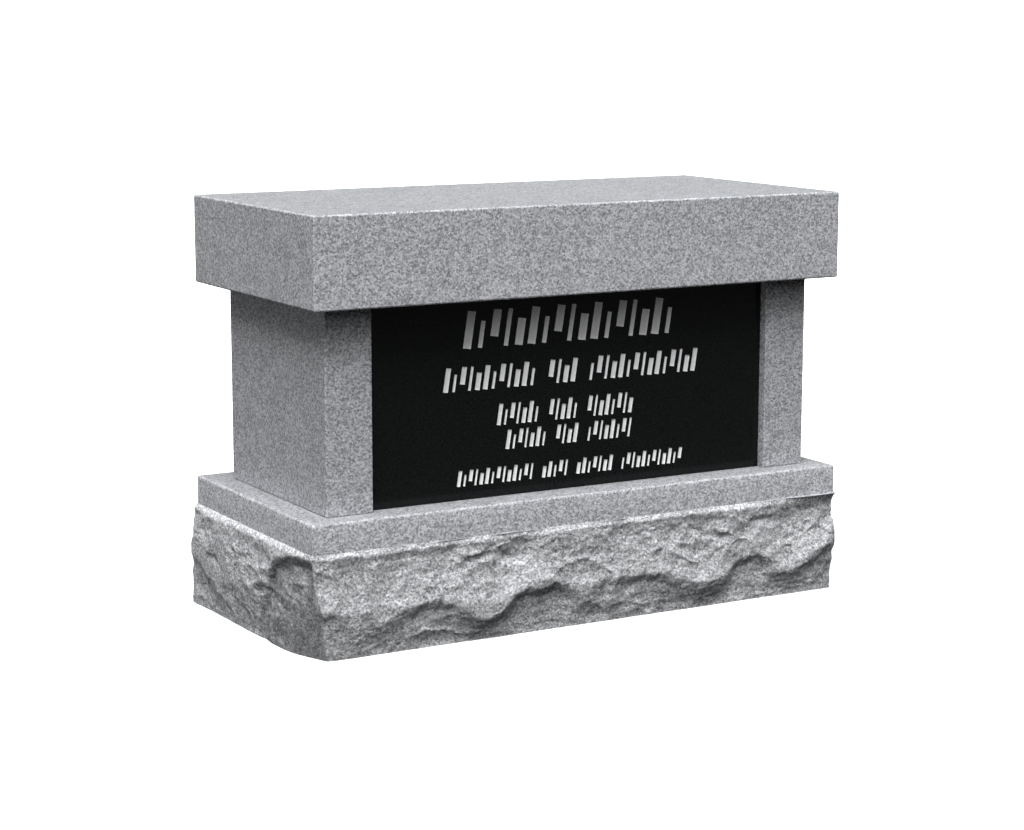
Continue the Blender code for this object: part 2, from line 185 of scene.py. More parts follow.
# The crest's line wanders and is ragged. A grain is the width of a noise's lumps, and a slice
# is the height at which a noise is read, so that two of them don't fall together.
FINE_SHARE = 0.5
CREST_SLICE = 0.3
CREST_WANDER = 0.030
WANDER_GRAIN = 0.05
CREST_RAGGEDNESS = 0.0062
RAGGED_GRAIN = 0.020
RAGGED_FINE_GRAIN = 0.007
CREST_SHARE = 0.45
LEVEL_CLOSING = 1.15

# The rock's main form: slow waves, the sweep down from the ledge, and the swell above the crest
WAVE_DEPTH = 0.0063
WAVE_GRAIN = 0.17
WAVE_FINE_GRAIN = 0.08
LEDGE_SWEEP = 1.3
SWELL_SLICE = 0.9
SWELL_GRAIN = 0.06
SWELL_SHARE = 0.75
SWELL_VARIATION = 0.9
SWELL_RISE = 0.65

# The undercut below the crest is worn unevenly. It is full in a bite and slight between them.
UNDERCUT_SLICE = 1.7
UNDERCUT_GRAIN = 0.035
UNDERCUT_WEAR = 0.9
UNDERCUT_VARIATION = 0.9
UNDERCUT_LEAST = 0.3
UNDERCUT_MOST = 1.2
UNDERCUT_SHARE = 0.10
UNDERCUT_REACH = 0.26
UNDERCUT_SPREAD = 0.5
FOOT_START = 0.05

# Each size of scoop in the relief is its depth, its width and how far its floor leans
SCOOPS = ((0.0036, 0.056, 1.0), (0.0013, 0.021, 1.0), (0.0008, 0.0085, 0.8))
SCOOP_WARP_GRAIN = 1.1
SCOOP_WARP = 0.45
SCOOP_TILT_SPREAD = 7.3
SCOOP_STEEPNESS = 1.5
SCOOP_RIDGE = 1.2
SCOOP_MIDDLE = 0.45
RELIEF_STRETCH = 1.7
ROCK_ROUGHNESS = 0.0026
ROCK_GRAIN = 0.055
ROUGHNESS_FALL = 1.0
ROUGHNESS_STEP = 2.1
ROUGHNESS_LAYERS = 3
GRIT_DEPTH = 0.0015
GRIT_GRAIN = 0.007
GRIT_LAYERS = 2

# The relief is calmer by the ledge and the ground, under the crest, and near the front's left end
CALM_HEIGHT = 0.018
CALM_BELOW_FOOT = 0.006
CALM_BELOW_LEDGE = 0.003
CALM_SHARE = 0.06
CALM_UNDERCUT = 0.3
CALM_UNDERCUT_HEIGHT = 0.010
CALM_STRETCH = 0.35
CALM_PLACE = 0.10
CALM_HALF_WIDTH = 0.16

# The ledge's arris is chipped raggedly, but not at the front right corner
CHIP_SLICE = 0.5
CHIP_DEPTH = 0.0050
CHIP_HEIGHT = 0.0070
CHIP_RAGGEDNESS = 0.0040
CHIP_GRAIN = 0.016
CHIP_FINE_RAGGEDNESS = 0.0025
CHIP_FINE_GRAIN = 0.006
KEPT_PLACE = 1.0
KEPT_HALF_WIDTH = 0.10
KEPT_FULL = 1.3

# Painted shade darkens the stone below a deep shelf, in a broken corner and in patches under the
# crest.
# The band along the ledge is painted paler: partly the bruising of the tool's blows, partly a painted
# highlight.
PAINTED_SHADE = 0.68
PAINTED_SHADE_DEPTH = 0.013
PAINTED_SHADE_BREAK = 0.020
PAINTED_SHADE_MOST = 0.55
UNDERCUT_PAINTED_SHADE = 0.5
UNDERCUT_PAINTED_SHADE_HEIGHT = 0.012
UNDERCUT_PAINTED_SHADE_GRAIN = 0.022
UNDERCUT_PAINTED_SHADE_COVER = 0.10
LIP_PAINTED_SHADE = 0.30
LIP_PAINTED_SHADE_HEIGHT = 0.015
MOTTLE = 0.7
MOTTLE_GRAIN = 0.014
FINE_MOTTLE = 0.4
FINE_MOTTLE_GRAIN = 0.006
# How much paler the band along the ledge is, and how high it reaches: partly bruising, partly a
# painted highlight
LEDGE_HIGHLIGHT_AND_BRUISING = 0.24
LEDGE_HIGHLIGHT_AND_BRUISING_HEIGHT = 0.010


def hidden_bites():
    """Bites on the right side and the back, spread evenly and varied a little."""
    draw = random.Random(HIDDEN_SEED)
    bites = []
    for index in range(HIDDEN_BITES):
        even = HIDDEN_START + HIDDEN_STRETCH * index / (HIDDEN_BITES - 1)
        place = even + draw.uniform(-HIDDEN_SHIFT, HIDDEN_SHIFT)
        bites.append((place, draw.uniform(*HIDDEN_HALF_WIDTHS), draw.uniform(*HIDDEN_HEIGHTS)))
    return bites


BITES = SHOWN_BITES + tuple(hidden_bites())


def smooth(value):
    """0 below 0, 1 above 1, and a soft step between."""
    value = min(max(value, 0.0), 1.0)
    return value * value * (3 - 2 * value)


def apart(place, other):
    """How far apart two places round the base are, the shorter way round."""
    gap = abs(place - other) % 4
    return min(gap, 4 - gap)


def two_grains(point, coarse, fine):
    """Noise of one grain, under a finer one that is half as strong."""
    return noise.noise(point / coarse) + FINE_SHARE * noise.noise(point / fine)


def outline_place(x, y):
    """The place round the base of a point on the step's outline, and the way that it faces."""
    half_x = STEP_LENGTH / 2
    half_y = STEP_DEPTH / 2
    inner_x = half_x - STEP_CORNER_RADIUS
    inner_y = half_y - STEP_CORNER_RADIUS
    facing = Vector((x - min(max(x, -inner_x), inner_x), y - min(max(y, -inner_y), inner_y)))
    facing.normalize()
    if abs(facing.y) >= abs(facing.x):
        share = (x + half_x) / STEP_LENGTH
        place = share if facing.y < 0 else 3 - share
    else:
        share = (y + half_y) / STEP_DEPTH
        place = 1 + share if facing.x > 0 else 4 - share
    return place, facing


def rock_form(place):
    """The crest's usual height at a place, and the rock's foot, crest, swell and undercut."""
    for first, last in zip(ROCK_FORM, ROCK_FORM[1:]):
        if place <= last[0]:
            share = smooth((place - first[0]) / (last[0] - first[0]))
            return [low + (high - low) * share for low, high in zip(first[1:], last[1:])]
    return ROCK_FORM[-1][1:]


def crest(place, x, y):
    """The crest's height at a place, and how deep the bite under it goes there, 0 to 1."""
    along = Vector((x, y, CREST_SLICE))
    place += CREST_WANDER * noise.noise(along / WANDER_GRAIN)
    height = rock_form(place)[0]
    deepest = 0.0
    for centre, half_width, bite_height in BITES:
        weight = smooth(BITE_STEEPNESS * (1 - apart(place, centre) / half_width))
        height += weight * (bite_height - height)
        deepest = max(deepest, weight)
    ragged = two_grains(along, RAGGED_GRAIN, RAGGED_FINE_GRAIN)
    return height * ROCK_HEIGHT + CREST_RAGGEDNESS * ragged, deepest


def scoop(point, size, lean):
    """A scoop burst out of the rock: 0 in its middle, about 1 on the sharp ridge to the next."""
    warp = noise.noise_vector(point / (size * SCOOP_WARP_GRAIN)) * (size * SCOOP_WARP)
    near, centres = noise.voronoi((point + warp) / size)[:2]
    tilt = noise.cell_vector(centres[0] * SCOOP_TILT_SPREAD) - Vector((0.5, 0.5, 0.5))
    away = (point + warp) / size - centres[0]
    bowl = min(SCOOP_RIDGE, near[0] * near[0] * SCOOP_STEEPNESS)
    return bowl - SCOOP_MIDDLE + lean * tilt.dot(away)


def lip_level(line, place):
    """The height of a lip's line at a place, as a share of the rock's height."""
    for (start, low), (end, high) in zip(line, line[1:]):
        if place <= end:
            return low + (high - low) * (place - start) / (end - start)
    return line[-1][1]


def shelves(place, point):
    """How deep the rock falls back below its shelves, where a burst ended under a ragged lip."""
    depth = 0.0
    z = point.z + LIP_RAGGEDNESS * noise.noise(point / LIP_GRAIN)
    z += LIP_FINE_RAGGEDNESS * noise.noise(point / LIP_FINE_GRAIN)
    for fall_back, reach, line in SHELVES:
        start = line[0][0]
        end = line[-1][0]
        if not start < place < end:
            continue
        share = (place - start) / (end - start)
        below = (lip_level(line, place) * ROCK_HEIGHT - z) / reach
        if 0 < below < 1:
            fade = smooth(min(share, 1 - share) / SHELF_FADE)
            lip = smooth(below * reach / (SHELF_LIP + SHELF_LIP_SHARE * reach))
            depth += fall_back * fade * lip * (1 - below) ** SHELF_RETURN
    return depth * smooth((ROCK_HEIGHT - point.z) / SHELF_BELOW_LEDGE)


def rock_profile(place, point, crest_z, deepest):
    """How far the rock's main form stands outside the step's face, without its relief."""
    z = point.z
    foot, proud, swell, undercut = rock_form(place)[1:]
    proud += WAVE_DEPTH * two_grains(point, WAVE_GRAIN, WAVE_FINE_GRAIN)
    if z >= crest_z:
        fall = (ROCK_HEIGHT - z) / (ROCK_HEIGHT - crest_z)
        out = ROCK_LEDGE + (proud - ROCK_LEDGE) * fall**LEDGE_SWEEP
        along = Vector((point.x, point.y, SWELL_SLICE))
        strength = SWELL_SHARE + SWELL_VARIATION * noise.noise(along / SWELL_GRAIN)
        return out + swell * strength * math.sin(math.pi * min(1.0, fall) ** SWELL_RISE)
    drop = (crest_z - z) / crest_z
    along = Vector((point.x, point.y, UNDERCUT_SLICE))
    worn = UNDERCUT_WEAR + UNDERCUT_VARIATION * noise.noise(along / UNDERCUT_GRAIN)
    worn = min(UNDERCUT_MOST, max(UNDERCUT_LEAST, worn))
    hollow = proud - undercut * (UNDERCUT_SHARE + (1 - UNDERCUT_SHARE) * deepest) * worn
    reach = UNDERCUT_REACH + UNDERCUT_SPREAD * (1 - deepest)
    out = proud + (hollow - proud) * smooth(drop / reach)
    return out + (foot - hollow) * smooth((drop - FOOT_START) / (1 - FOOT_START))


def rock_relief(place, point, crest_z):
    """The scoops, roughness and grit that lie on the rock's main form."""
    flat = Vector((point.x, point.y, point.z * RELIEF_STRETCH))
    relief = 0.0
    for depth, width, lean in SCOOPS:
        relief += depth * scoop(flat, width, lean)
    rough = noise.fractal(
        point / ROCK_GRAIN, ROUGHNESS_FALL, ROUGHNESS_STEP, ROUGHNESS_LAYERS, noise_basis="PERLIN_NEW"
    )
    relief += ROCK_ROUGHNESS * rough
    relief *= 1 - CALM_UNDERCUT * smooth((crest_z - point.z) / CALM_UNDERCUT_HEIGHT)
    relief *= 1 - CALM_STRETCH * smooth(1 - apart(place, CALM_PLACE) / CALM_HALF_WIDTH)
    grit = noise.turbulence(flat / GRIT_GRAIN, GRIT_LAYERS, True, noise_basis="PERLIN_NEW")
    return relief - GRIT_DEPTH * grit


def rock_face(place, point):
    """How far the rock stands outside the step's face at a point of the step's outline."""
    crest_z, deepest = crest(place, point.x, point.y)
    out = rock_profile(place, point, crest_z, deepest) - shelves(place, point)
    below_ledge = ROCK_HEIGHT - point.z
    inside = smooth(min(point.z + CALM_BELOW_FOOT, below_ledge - CALM_BELOW_LEDGE) / CALM_HEIGHT)
    out += rock_relief(place, point, crest_z) * (CALM_SHARE + (1 - CALM_SHARE) * inside)
    along = Vector((point.x, point.y, CHIP_SLICE))
    chip = CHIP_HEIGHT + CHIP_RAGGEDNESS * noise.noise(along / CHIP_GRAIN)
    chip += CHIP_FINE_RAGGEDNESS * noise.noise(along / CHIP_FINE_GRAIN)
    kept = smooth(KEPT_FULL - apart(place, KEPT_PLACE) / KEPT_HALF_WIDTH)
    out -= CHIP_DEPTH * (1 - kept) * (1 - min(1.0, below_ledge / chip))
    return min(out, ROCK_PROUD)


def rock_painted_shade_and_bruising(place, point, broken):
    """Painted shade on the rock, darker below a deep shelf, in a broken corner and in patches under
    the crest, and a paler band along the ledge, partly bruising and partly a painted highlight.
    """
    shade_amount = min(1.0, shelves(place, point) / PAINTED_SHADE_DEPTH + smooth(broken / PAINTED_SHADE_BREAK))
    below = smooth((crest(place, point.x, point.y)[0] - point.z) / UNDERCUT_PAINTED_SHADE_HEIGHT)
    patch = noise.noise(point / UNDERCUT_PAINTED_SHADE_GRAIN) + UNDERCUT_PAINTED_SHADE_COVER
    shade_amount += UNDERCUT_PAINTED_SHADE * below * max(0.0, patch)
    if place > CORNER_LIP[0][0]:
        under_lip = lip_level(CORNER_LIP, place) * ROCK_HEIGHT - point.z
        shade_amount += LIP_PAINTED_SHADE * smooth(under_lip / LIP_PAINTED_SHADE_HEIGHT)
    mottle = MOTTLE * noise.noise(point / MOTTLE_GRAIN)
    fine_mottle = FINE_MOTTLE * noise.noise(point / FINE_MOTTLE_GRAIN)
    shade_amount = min(shade_amount, PAINTED_SHADE_MOST) * (1 + mottle + fine_mottle)
    # The band along the ledge is paler: partly bruising, partly a painted highlight
    ledge_highlight_and_bruising = 1 - smooth((ROCK_HEIGHT - point.z) / LEDGE_HIGHLIGHT_AND_BRUISING_HEIGHT)
    return 1 - PAINTED_SHADE * shade_amount * (1 - ledge_highlight_and_bruising) + LEDGE_HIGHLIGHT_AND_BRUISING * ledge_highlight_and_bruising


def corner_plane(corner):
    """The broken face at a corner, as a point on it and the way that it faces."""
    reach_x, reach_y, top = CORNER_BREAKS[corner]
    sign_x, sign_y = CORNER_SIGNS[corner]
    corner_x = sign_x * (STEP_LENGTH / 2 + CORNER_REACH)
    corner_y = sign_y * (STEP_DEPTH / 2 + CORNER_REACH)
    summit = Vector((corner_x, corner_y, top * ROCK_HEIGHT))
    along_x = Vector((corner_x - sign_x * reach_x, corner_y, 0.0))
    along_y = Vector((corner_x, corner_y - sign_y * reach_y, 0.0))
    facing = plane_normal((summit, along_x, along_y))
    if facing.x * sign_x < 0:
        facing.negate()
    return summit, facing


def broken_back(point, planes):
    """A point of the rock, moved level back to the broken face of a corner that it is past."""
    for summit, facing in planes:
        past = facing.dot(point - summit) / BREAK_SOFTNESS
        if past > SOFT_FROM:
            past = past if past > SOFT_TO else math.log1p(math.exp(past))
            level = Vector((facing.x, facing.y, 0.0))
            point = point - level * (past * BREAK_SOFTNESS / level.length_squared)
    return point


def warped_height(share, crest_z):
    """The height of a level, closed up so that one level runs along the crest."""
    if share <= CREST_SHARE:
        return crest_z * share / CREST_SHARE
    rise = (share - CREST_SHARE) / (1 - CREST_SHARE)
    return crest_z + (ROCK_HEIGHT - crest_z) * (1 - (1 - rise) ** LEVEL_CLOSING)


def edges_along(bm, axis):
    """The straight edges of the open block that run along an axis."""
    found = []
    for edge in bm.edges:
        run = edge.verts[1].co - edge.verts[0].co
        if abs(run[axis]) > 0.999 * run.length:
            found.append(edge)
    return found


def level_edges(bm, level):
    """The ring of edges that lies at a level."""
    return [edge for edge in bm.edges if all(abs(vert.co.z - level) < 1e-5 for vert in edge.verts)]


def raise_ring(bm, ring, level, drawn_in, outline):
    """Extrudes the top ring to a level, drawn in from the step's outline."""
    made = bmesh.ops.extrude_edge_only(bm, edges=ring)["geom"]
    edges = [item for item in made if isinstance(item, bmesh.types.BMEdge)]
    scale_x = 1 - drawn_in / (STEP_LENGTH / 2)
    scale_y = 1 - drawn_in / (STEP_DEPTH / 2)
    for vert in (item for item in made if isinstance(item, bmesh.types.BMVert)):
        place = outline[vert.co.copy().freeze()]
        vert.co = (place.x * scale_x, place.y * scale_y, level)
        outline[vert.co.copy().freeze()] = place
    return edges


def open_block(bm):
    """The step's outline, carried down to the ground, with upright round corners and no ends."""
    size = Matrix.Diagonal((STEP_LENGTH, STEP_DEPTH, ROCK_HEIGHT, 1.0))
    lift = Matrix.Translation((0, 0, ROCK_HEIGHT / 2))
    bmesh.ops.create_cube(bm, size=1.0, matrix=lift @ size)
    ends = [face for face in bm.faces if abs(face.normal.z) > 0.5]
    bmesh.ops.delete(bm, geom=ends, context="FACES_ONLY")
    bmesh.ops.bevel(
        bm,
        geom=edges_along(bm, 2),
        offset=STEP_CORNER_RADIUS,
        segments=CORNER_SEGMENTS,
        profile=0.5,
        affect="EDGES",
        material=-1,
    )
    for axis, length in ((0, STEP_LENGTH), (1, STEP_DEPTH)):
        cuts = round(length / ROCK_MESH)
        bmesh.ops.subdivide_edges(bm, edges=edges_along(bm, axis), cuts=cuts)
    levels = round(ROCK_HEIGHT / ROCK_MESH)
    bmesh.ops.subdivide_edges(bm, edges=edges_along(bm, 2), cuts=levels - 1)


def piece_from(name, bm):
    """A finished mesh as an object at the origin, its faces pointing out."""
    bmesh.ops.recalc_face_normals(bm, faces=bm.faces)
    mesh = bpy.data.meshes.new(name)
    bm.to_mesh(mesh)
    bm.free()
    piece = bpy.data.objects.new(name, mesh)
    bpy.context.scene.collection.objects.link(piece)
    return piece


bm = bmesh.new()
open_block(bm)
# A layer of the mesh holds the rock's painted shade and its paler ledge band
tone_layer = bm.verts.layers.float.new("rock_painted_shade_and_bruising")
foot = level_edges(bm, 0.0)
ring = level_edges(bm, ROCK_HEIGHT)
planes = [corner_plane(corner) for corner in range(4)]
outline = {}
for vert in bm.verts:
    place, facing = outline_place(vert.co.x, vert.co.y)
    point = vert.co.copy()
    point.z = warped_height(point.z / ROCK_HEIGHT, crest(place, point.x, point.y)[0])
    sawn = point.copy()
    point += facing.to_3d() * rock_face(place, point)
    vert.co = broken_back(point, planes)
    vert[tone_layer] = rock_painted_shade_and_bruising(place, sawn, (point - vert.co).length)
    outline[vert.co.copy().freeze()] = sawn
rock_faces = set(bm.faces)
ring = raise_ring(bm, ring, ROCK_HEIGHT, 0.0, outline)
ring = raise_ring(bm, ring, STEP_TOP - STEP_EASING, 0.0, outline)
for degrees in EASED_EDGE_TURNS:
    angle = math.radians(degrees)
    level = STEP_TOP - STEP_EASING * (1 - math.sin(angle))
    ring = raise_ring(bm, ring, level, STEP_EASING * (1 - math.cos(angle)), outline)
bmesh.ops.contextual_create(bm, geom=ring)
bmesh.ops.contextual_create(bm, geom=foot)
for face in bm.faces:
    face.material_index = 0 if face in rock_faces else 1
base_stone = piece_from("base_stone", bm)
base_stone.data.shade_smooth()
base_stone.data.set_sharp_from_angle(angle=math.radians(40))

# Granite's grain: coarse and fine crystals, a slow drift of tone, and where between 0 and 1
# the dark, the middle and the light mineral lie
COARSE_CRYSTALS = 0.62
FINE_CRYSTALS = 0.38
FINE_CRYSTAL_SIZE = 0.55
SPECKLE_SHARE = 0.80
DRIFT_SHARE = 0.20
DRIFT_SIZE = 0.03
MINERAL_STOPS = (0.20, 0.47, 0.80)
GRANITE_SPECULAR = 0.35

# A broken face is patchy, with a coarse tooth. A steeled one has a fine tooth.
PATCH_SIZE = 0.011
PATCH_STRETCH = 1.8
PATCHINESS = 0.9
TOOTH_SIZE = 0.005
TOOTH_STRETCH = 1.5
TOOTH_FROM_GRAIN = 0.35
BROKEN_TOOTH = 0.0016
STEELED_TOOTH = 0.0006

# A sawn block's edges are found within a share of their easing, and its top within a hair
EDGE_BAND = 0.96
TOP_BAND = 0.0001
# The other edges are painted darker by this share, a painted shade
OTHER_EDGE_PAINTED_SHADE = 0.12


def new_finish(name):
    """A new material, with its node tree and its shader."""
    material = bpy.data.materials.new(name)
    material.use_nodes = True
    return material, material.node_tree, material.node_tree.nodes["Principled BSDF"]


def maths(tree, operation, first, second=0.0):
    """The result of an operation on two values, each a socket or a number."""
    node = tree.nodes.new("ShaderNodeMath")
    node.operation = operation
    for socket, value in zip(node.inputs, (first, second)):
        if isinstance(value, float):
            socket.default_value = value
        else:
            tree.links.new(value, socket)
    return node.outputs["Value"]


def pattern(tree, where, kind, size, stretch=1.0, **values):
    """A pattern in the stone with lumps of a size in metres, flatter where stretch is above 1."""
    node = tree.nodes.new(kind)
    node.inputs["Scale"].default_value = 1 / size
    for key, value in values.items():
        node.inputs[key].default_value = value
    flattened = tree.nodes.new("ShaderNodeMapping")
    flattened.inputs["Scale"].default_value = (1.0, 1.0, stretch)
    tree.links.new(where, flattened.inputs["Vector"])
    tree.links.new(flattened.outputs["Vector"], node.inputs["Vector"])
    return node


def crystals(tree, where, size):
    """Crystals of a size in metres, each with a tone of its own from 0 to 1."""
    split = tree.nodes.new("ShaderNodeSeparateColor")
    cells = pattern(tree, where, "ShaderNodeTexVoronoi", size)
    tree.links.new(cells.outputs["Color"], split.inputs["Color"])
    return split.outputs["Red"]


def colours_over(tree, tone, stops):
    """A colour that follows a tone, through stops that are each a tone and a colour."""
    ramp = tree.nodes.new("ShaderNodeValToRGB")
    elements = ramp.color_ramp.elements
    first, *between, last = stops
    elements[0].position = first[0]
    elements[0].color = (*first[1], 1)
    elements[1].position = last[0]
    elements[1].color = (*last[1], 1)
    for position, colour in between:
        elements.new(position).color = (*colour, 1)
    tree.links.new(tone, ramp.inputs["Fac"])
    return ramp.outputs["Color"]


def sawn_painted_light(tree, where, box, easing, painted_edge_light, painted_top_shade):
    """The painted light of a sawn block: 1 on its sides, and painted shares on its upper eased edges,
    its other edges and its level top.
    """
    split = tree.nodes.new("ShaderNodeSeparateXYZ")
    tree.links.new(where, split.inputs["Vector"])
    low, high = box
    band = easing * EDGE_BAND
    outside = 0.0
    for axis in range(3):
        middle = (low[axis] + high[axis]) / 2
        off = maths(tree, "ABSOLUTE", maths(tree, "SUBTRACT", split.outputs[axis], middle))
        near = maths(tree, "GREATER_THAN", off, (high[axis] - low[axis]) / 2 - band)
        outside = maths(tree, "ADD", outside, near)
    edges = maths(tree, "GREATER_THAN", outside, 1.5)
    upper = maths(tree, "GREATER_THAN", split.outputs["Z"], high[2] - band)
    upper_edges = maths(tree, "MULTIPLY", edges, upper)
    other_edges = maths(tree, "SUBTRACT", edges, upper_edges)
    top = maths(tree, "GREATER_THAN", split.outputs["Z"], high[2] - TOP_BAND)
    gain = maths(tree, "ADD", 1.0, maths(tree, "MULTIPLY", upper_edges, painted_edge_light - 1.0))
    gain = maths(tree, "ADD", gain, maths(tree, "MULTIPLY", top, painted_top_shade - 1.0))
    return maths(tree, "SUBTRACT", gain, maths(tree, "MULTIPLY", other_edges, OTHER_EDGE_PAINTED_SHADE))


def granite(name, minerals, grain, roughness, bump, sawn=None, broken=False):
    """Grey granite: grains of three minerals with a slow drift of tone, and a fine tooth.

    A sawn block may give its box, its easing, and the painted shares of its upper edges and its top.
    A broken face is patchy, reads its painted shade and its paler ledge from the rock, and has a
    coarse tooth.
    """
    material, tree, shader = new_finish(name)
    where = tree.nodes.new("ShaderNodeTexCoord").outputs["Object"]
    drift = pattern(tree, where, "ShaderNodeTexNoise", DRIFT_SIZE, Detail=3.0, Roughness=0.6)
    coarse = maths(tree, "MULTIPLY", crystals(tree, where, grain), COARSE_CRYSTALS)
    fine_size = grain * FINE_CRYSTAL_SIZE
    fine = maths(tree, "MULTIPLY", crystals(tree, where, fine_size), FINE_CRYSTALS)
    speckle = maths(tree, "MULTIPLY", maths(tree, "ADD", coarse, fine), SPECKLE_SHARE)
    drifting = maths(tree, "MULTIPLY", drift.outputs["Fac"], DRIFT_SHARE)
    tone = maths(tree, "ADD", speckle, drifting)
    colour = colours_over(tree, tone, zip(MINERAL_STOPS, minerals))
    height = tone
    if sawn:
        gain = sawn_painted_light(tree, where, *sawn)
    if broken:
        # The rock's painted shade and its paler ledge band, read from the mesh
        rock = tree.nodes.new("ShaderNodeAttribute")
        rock.attribute_name = "rock_painted_shade_and_bruising"
        patches = pattern(
            tree, where, "ShaderNodeTexNoise", PATCH_SIZE, PATCH_STRETCH, Detail=4.0, Roughness=0.75
        )
        patchy = maths(tree, "MULTIPLY", patches.outputs["Fac"], PATCHINESS)
        patchy = maths(tree, "ADD", patchy, 1 - PATCHINESS / 2)
        gain = maths(tree, "MULTIPLY", rock.outputs["Fac"], patchy)
        tooth = pattern(
            tree, where, "ShaderNodeTexNoise", TOOTH_SIZE, TOOTH_STRETCH, Detail=4.0, Roughness=0.7
        )
        from_grain = maths(tree, "MULTIPLY", tone, TOOTH_FROM_GRAIN)
        height = maths(tree, "ADD", from_grain, tooth.outputs["Fac"])
    if sawn or broken:
        tint = tree.nodes.new("ShaderNodeVectorMath")
        tint.operation = "SCALE"
        tree.links.new(colour, tint.inputs[0])
        tree.links.new(gain, tint.inputs["Scale"])
        colour = tint.outputs["Vector"]
    tree.links.new(colour, shader.inputs["Base Color"])
    shader.inputs["Roughness"].default_value = roughness
    shader.inputs["Specular IOR Level"].default_value = GRANITE_SPECULAR
    raised = tree.nodes.new("ShaderNodeBump")
    raised.inputs["Strength"].default_value = bump
    raised.inputs["Distance"].default_value = BROKEN_TOOTH if broken else STEELED_TOOTH
    tree.links.new(height, raised.inputs["Height"])
    tree.links.new(raised.outputs["Normal"], shader.inputs["Normal"])
    return material


# The dark, the middle and the light mineral of a broken face, and of a steeled one. The step's
# upper edges and its top are painted darker than its sides, a painted shade, as shares of their tone.
PITCHED = ((0.20, 0.204, 0.213), (0.45, 0.457, 0.475), (0.80, 0.805, 0.825))
PITCHED_GRAIN = 0.0025
PITCHED_ROUGHNESS = 0.7
PITCHED_BUMP = 0.8
STEELED = ((0.20, 0.205, 0.215), (0.44, 0.45, 0.475), (0.74, 0.75, 0.78))
STEELED_GRAIN = 0.0026
STEELED_ROUGHNESS = 0.6
STEELED_BUMP = 0.25
STEP_EDGE_PAINTED_SHADE = 0.90
STEP_TOP_PAINTED_SHADE = 0.69
pitched = granite(
    "pitched_granite", PITCHED, PITCHED_GRAIN, PITCHED_ROUGHNESS, PITCHED_BUMP, broken=True
)
step_low = Vector((-STEP_LENGTH / 2, -STEP_DEPTH / 2, 0))
step_high = Vector((STEP_LENGTH / 2, STEP_DEPTH / 2, STEP_TOP))
step_sawn = ((step_low, step_high), STEP_EASING, STEP_EDGE_PAINTED_SHADE, STEP_TOP_PAINTED_SHADE)
step_finish = granite(
    "step_granite", STEELED, STEELED_GRAIN, STEELED_ROUGHNESS, STEELED_BUMP, sawn=step_sawn
)
base_stone.data.materials.append(pitched)
base_stone.data.materials.append(step_finish)
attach(base_stone, "root")
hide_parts("base")


# The legs
# Two upright slabs of the same grey granite, sawn and steeled on every side, with barely
# eased edges. They stand on the step and are set with a thin bed of compound.
# The steeled minerals made darker, a painted shade for the legs that stand under the seat
LEG_MINERALS_SHADED = ((0.178, 0.183, 0.192), (0.390, 0.398, 0.420), (0.655, 0.664, 0.692))


def dress(node, material):
    """Gives a stone of the frame its finish."""
    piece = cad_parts[node]
    piece.data.materials.clear()
    piece.data.materials.append(material)


leg_granite = granite(
    "leg_granite", LEG_MINERALS_SHADED, STEELED_GRAIN, STEELED_ROUGHNESS, STEELED_BUMP
)
dress("leg_left", leg_granite)
dress("leg_right", leg_granite)

# The black die
# A block of polished black granite between the legs, set back from their fronts. The strokes
# of its inscription are blasted into the polish and frosted to a pale grey.
STROKE_DEPTH = 0.0012
CUT_FROM = 0.15
CUT_TO = 1.5
CUT_MARGIN = 0.01
BLACK_GRAIN = 1 / 900
BLACK_STOPS = ((0.40, (0.0025, 0.0030, 0.0030)), (0.62, (0.0115, 0.0130, 0.0130)))
FROST_STOPS = ((0.3, (0.82, 0.82, 0.82)), (0.7, (0.95, 0.95, 0.95)))
POLISH_ROUGHNESS = 0.14
FROST_ROUGHNESS = 0.85
POLISH_SPECULAR = 0.20
panel_low, panel_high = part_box("panel")


def polished_black(name):
    """Black granite with a faint grain, and pale frosted stone wherever the polish is cut."""
    material, tree, shader = new_finish(name)
    where = tree.nodes.new("ShaderNodeTexCoord").outputs["Object"]
    split = tree.nodes.new("ShaderNodeSeparateXYZ")
    tree.links.new(where, split.inputs["Vector"])
    cut_front = panel_low.y + STROKE_DEPTH * CUT_FROM
    cut_back = panel_low.y + STROKE_DEPTH * CUT_TO
    behind = maths(tree, "GREATER_THAN", split.outputs["Y"], cut_front)
    before = maths(tree, "LESS_THAN", split.outputs["Y"], cut_back)
    across = maths(tree, "ABSOLUTE", split.outputs["X"])
    inside = maths(tree, "LESS_THAN", across, panel_high.x - CUT_MARGIN)
    cut = maths(tree, "MULTIPLY", maths(tree, "MULTIPLY", behind, before), inside)
    grain = pattern(tree, where, "ShaderNodeTexNoise", BLACK_GRAIN, Detail=2.0)
    colour = tree.nodes.new("ShaderNodeMix")
    colour.data_type = "RGBA"
    tree.links.new(cut, colour.inputs["Factor"])
    tree.links.new(colours_over(tree, grain.outputs["Fac"], BLACK_STOPS), colour.inputs[6])
    tree.links.new(colours_over(tree, grain.outputs["Fac"], FROST_STOPS), colour.inputs[7])
    tree.links.new(colour.outputs[2], shader.inputs["Base Color"])
    finish = tree.nodes.new("ShaderNodeMapRange")
    finish.inputs["To Min"].default_value = POLISH_ROUGHNESS
    finish.inputs["To Max"].default_value = FROST_ROUGHNESS
    tree.links.new(cut, finish.inputs["Value"])
    tree.links.new(finish.outputs["Result"], shader.inputs["Roughness"])
    shader.inputs["Specular IOR Level"].default_value = POLISH_SPECULAR
    return material


dress("panel", polished_black("black_granite"))

# The seat
# One thick slab of the same grey granite laid over the legs and the die, sawn and steeled
# on every side, with a narrow eased edge that catches the light.
SEAT_EASING = 0.0025
SEAT_ROUGHNESS = 0.55
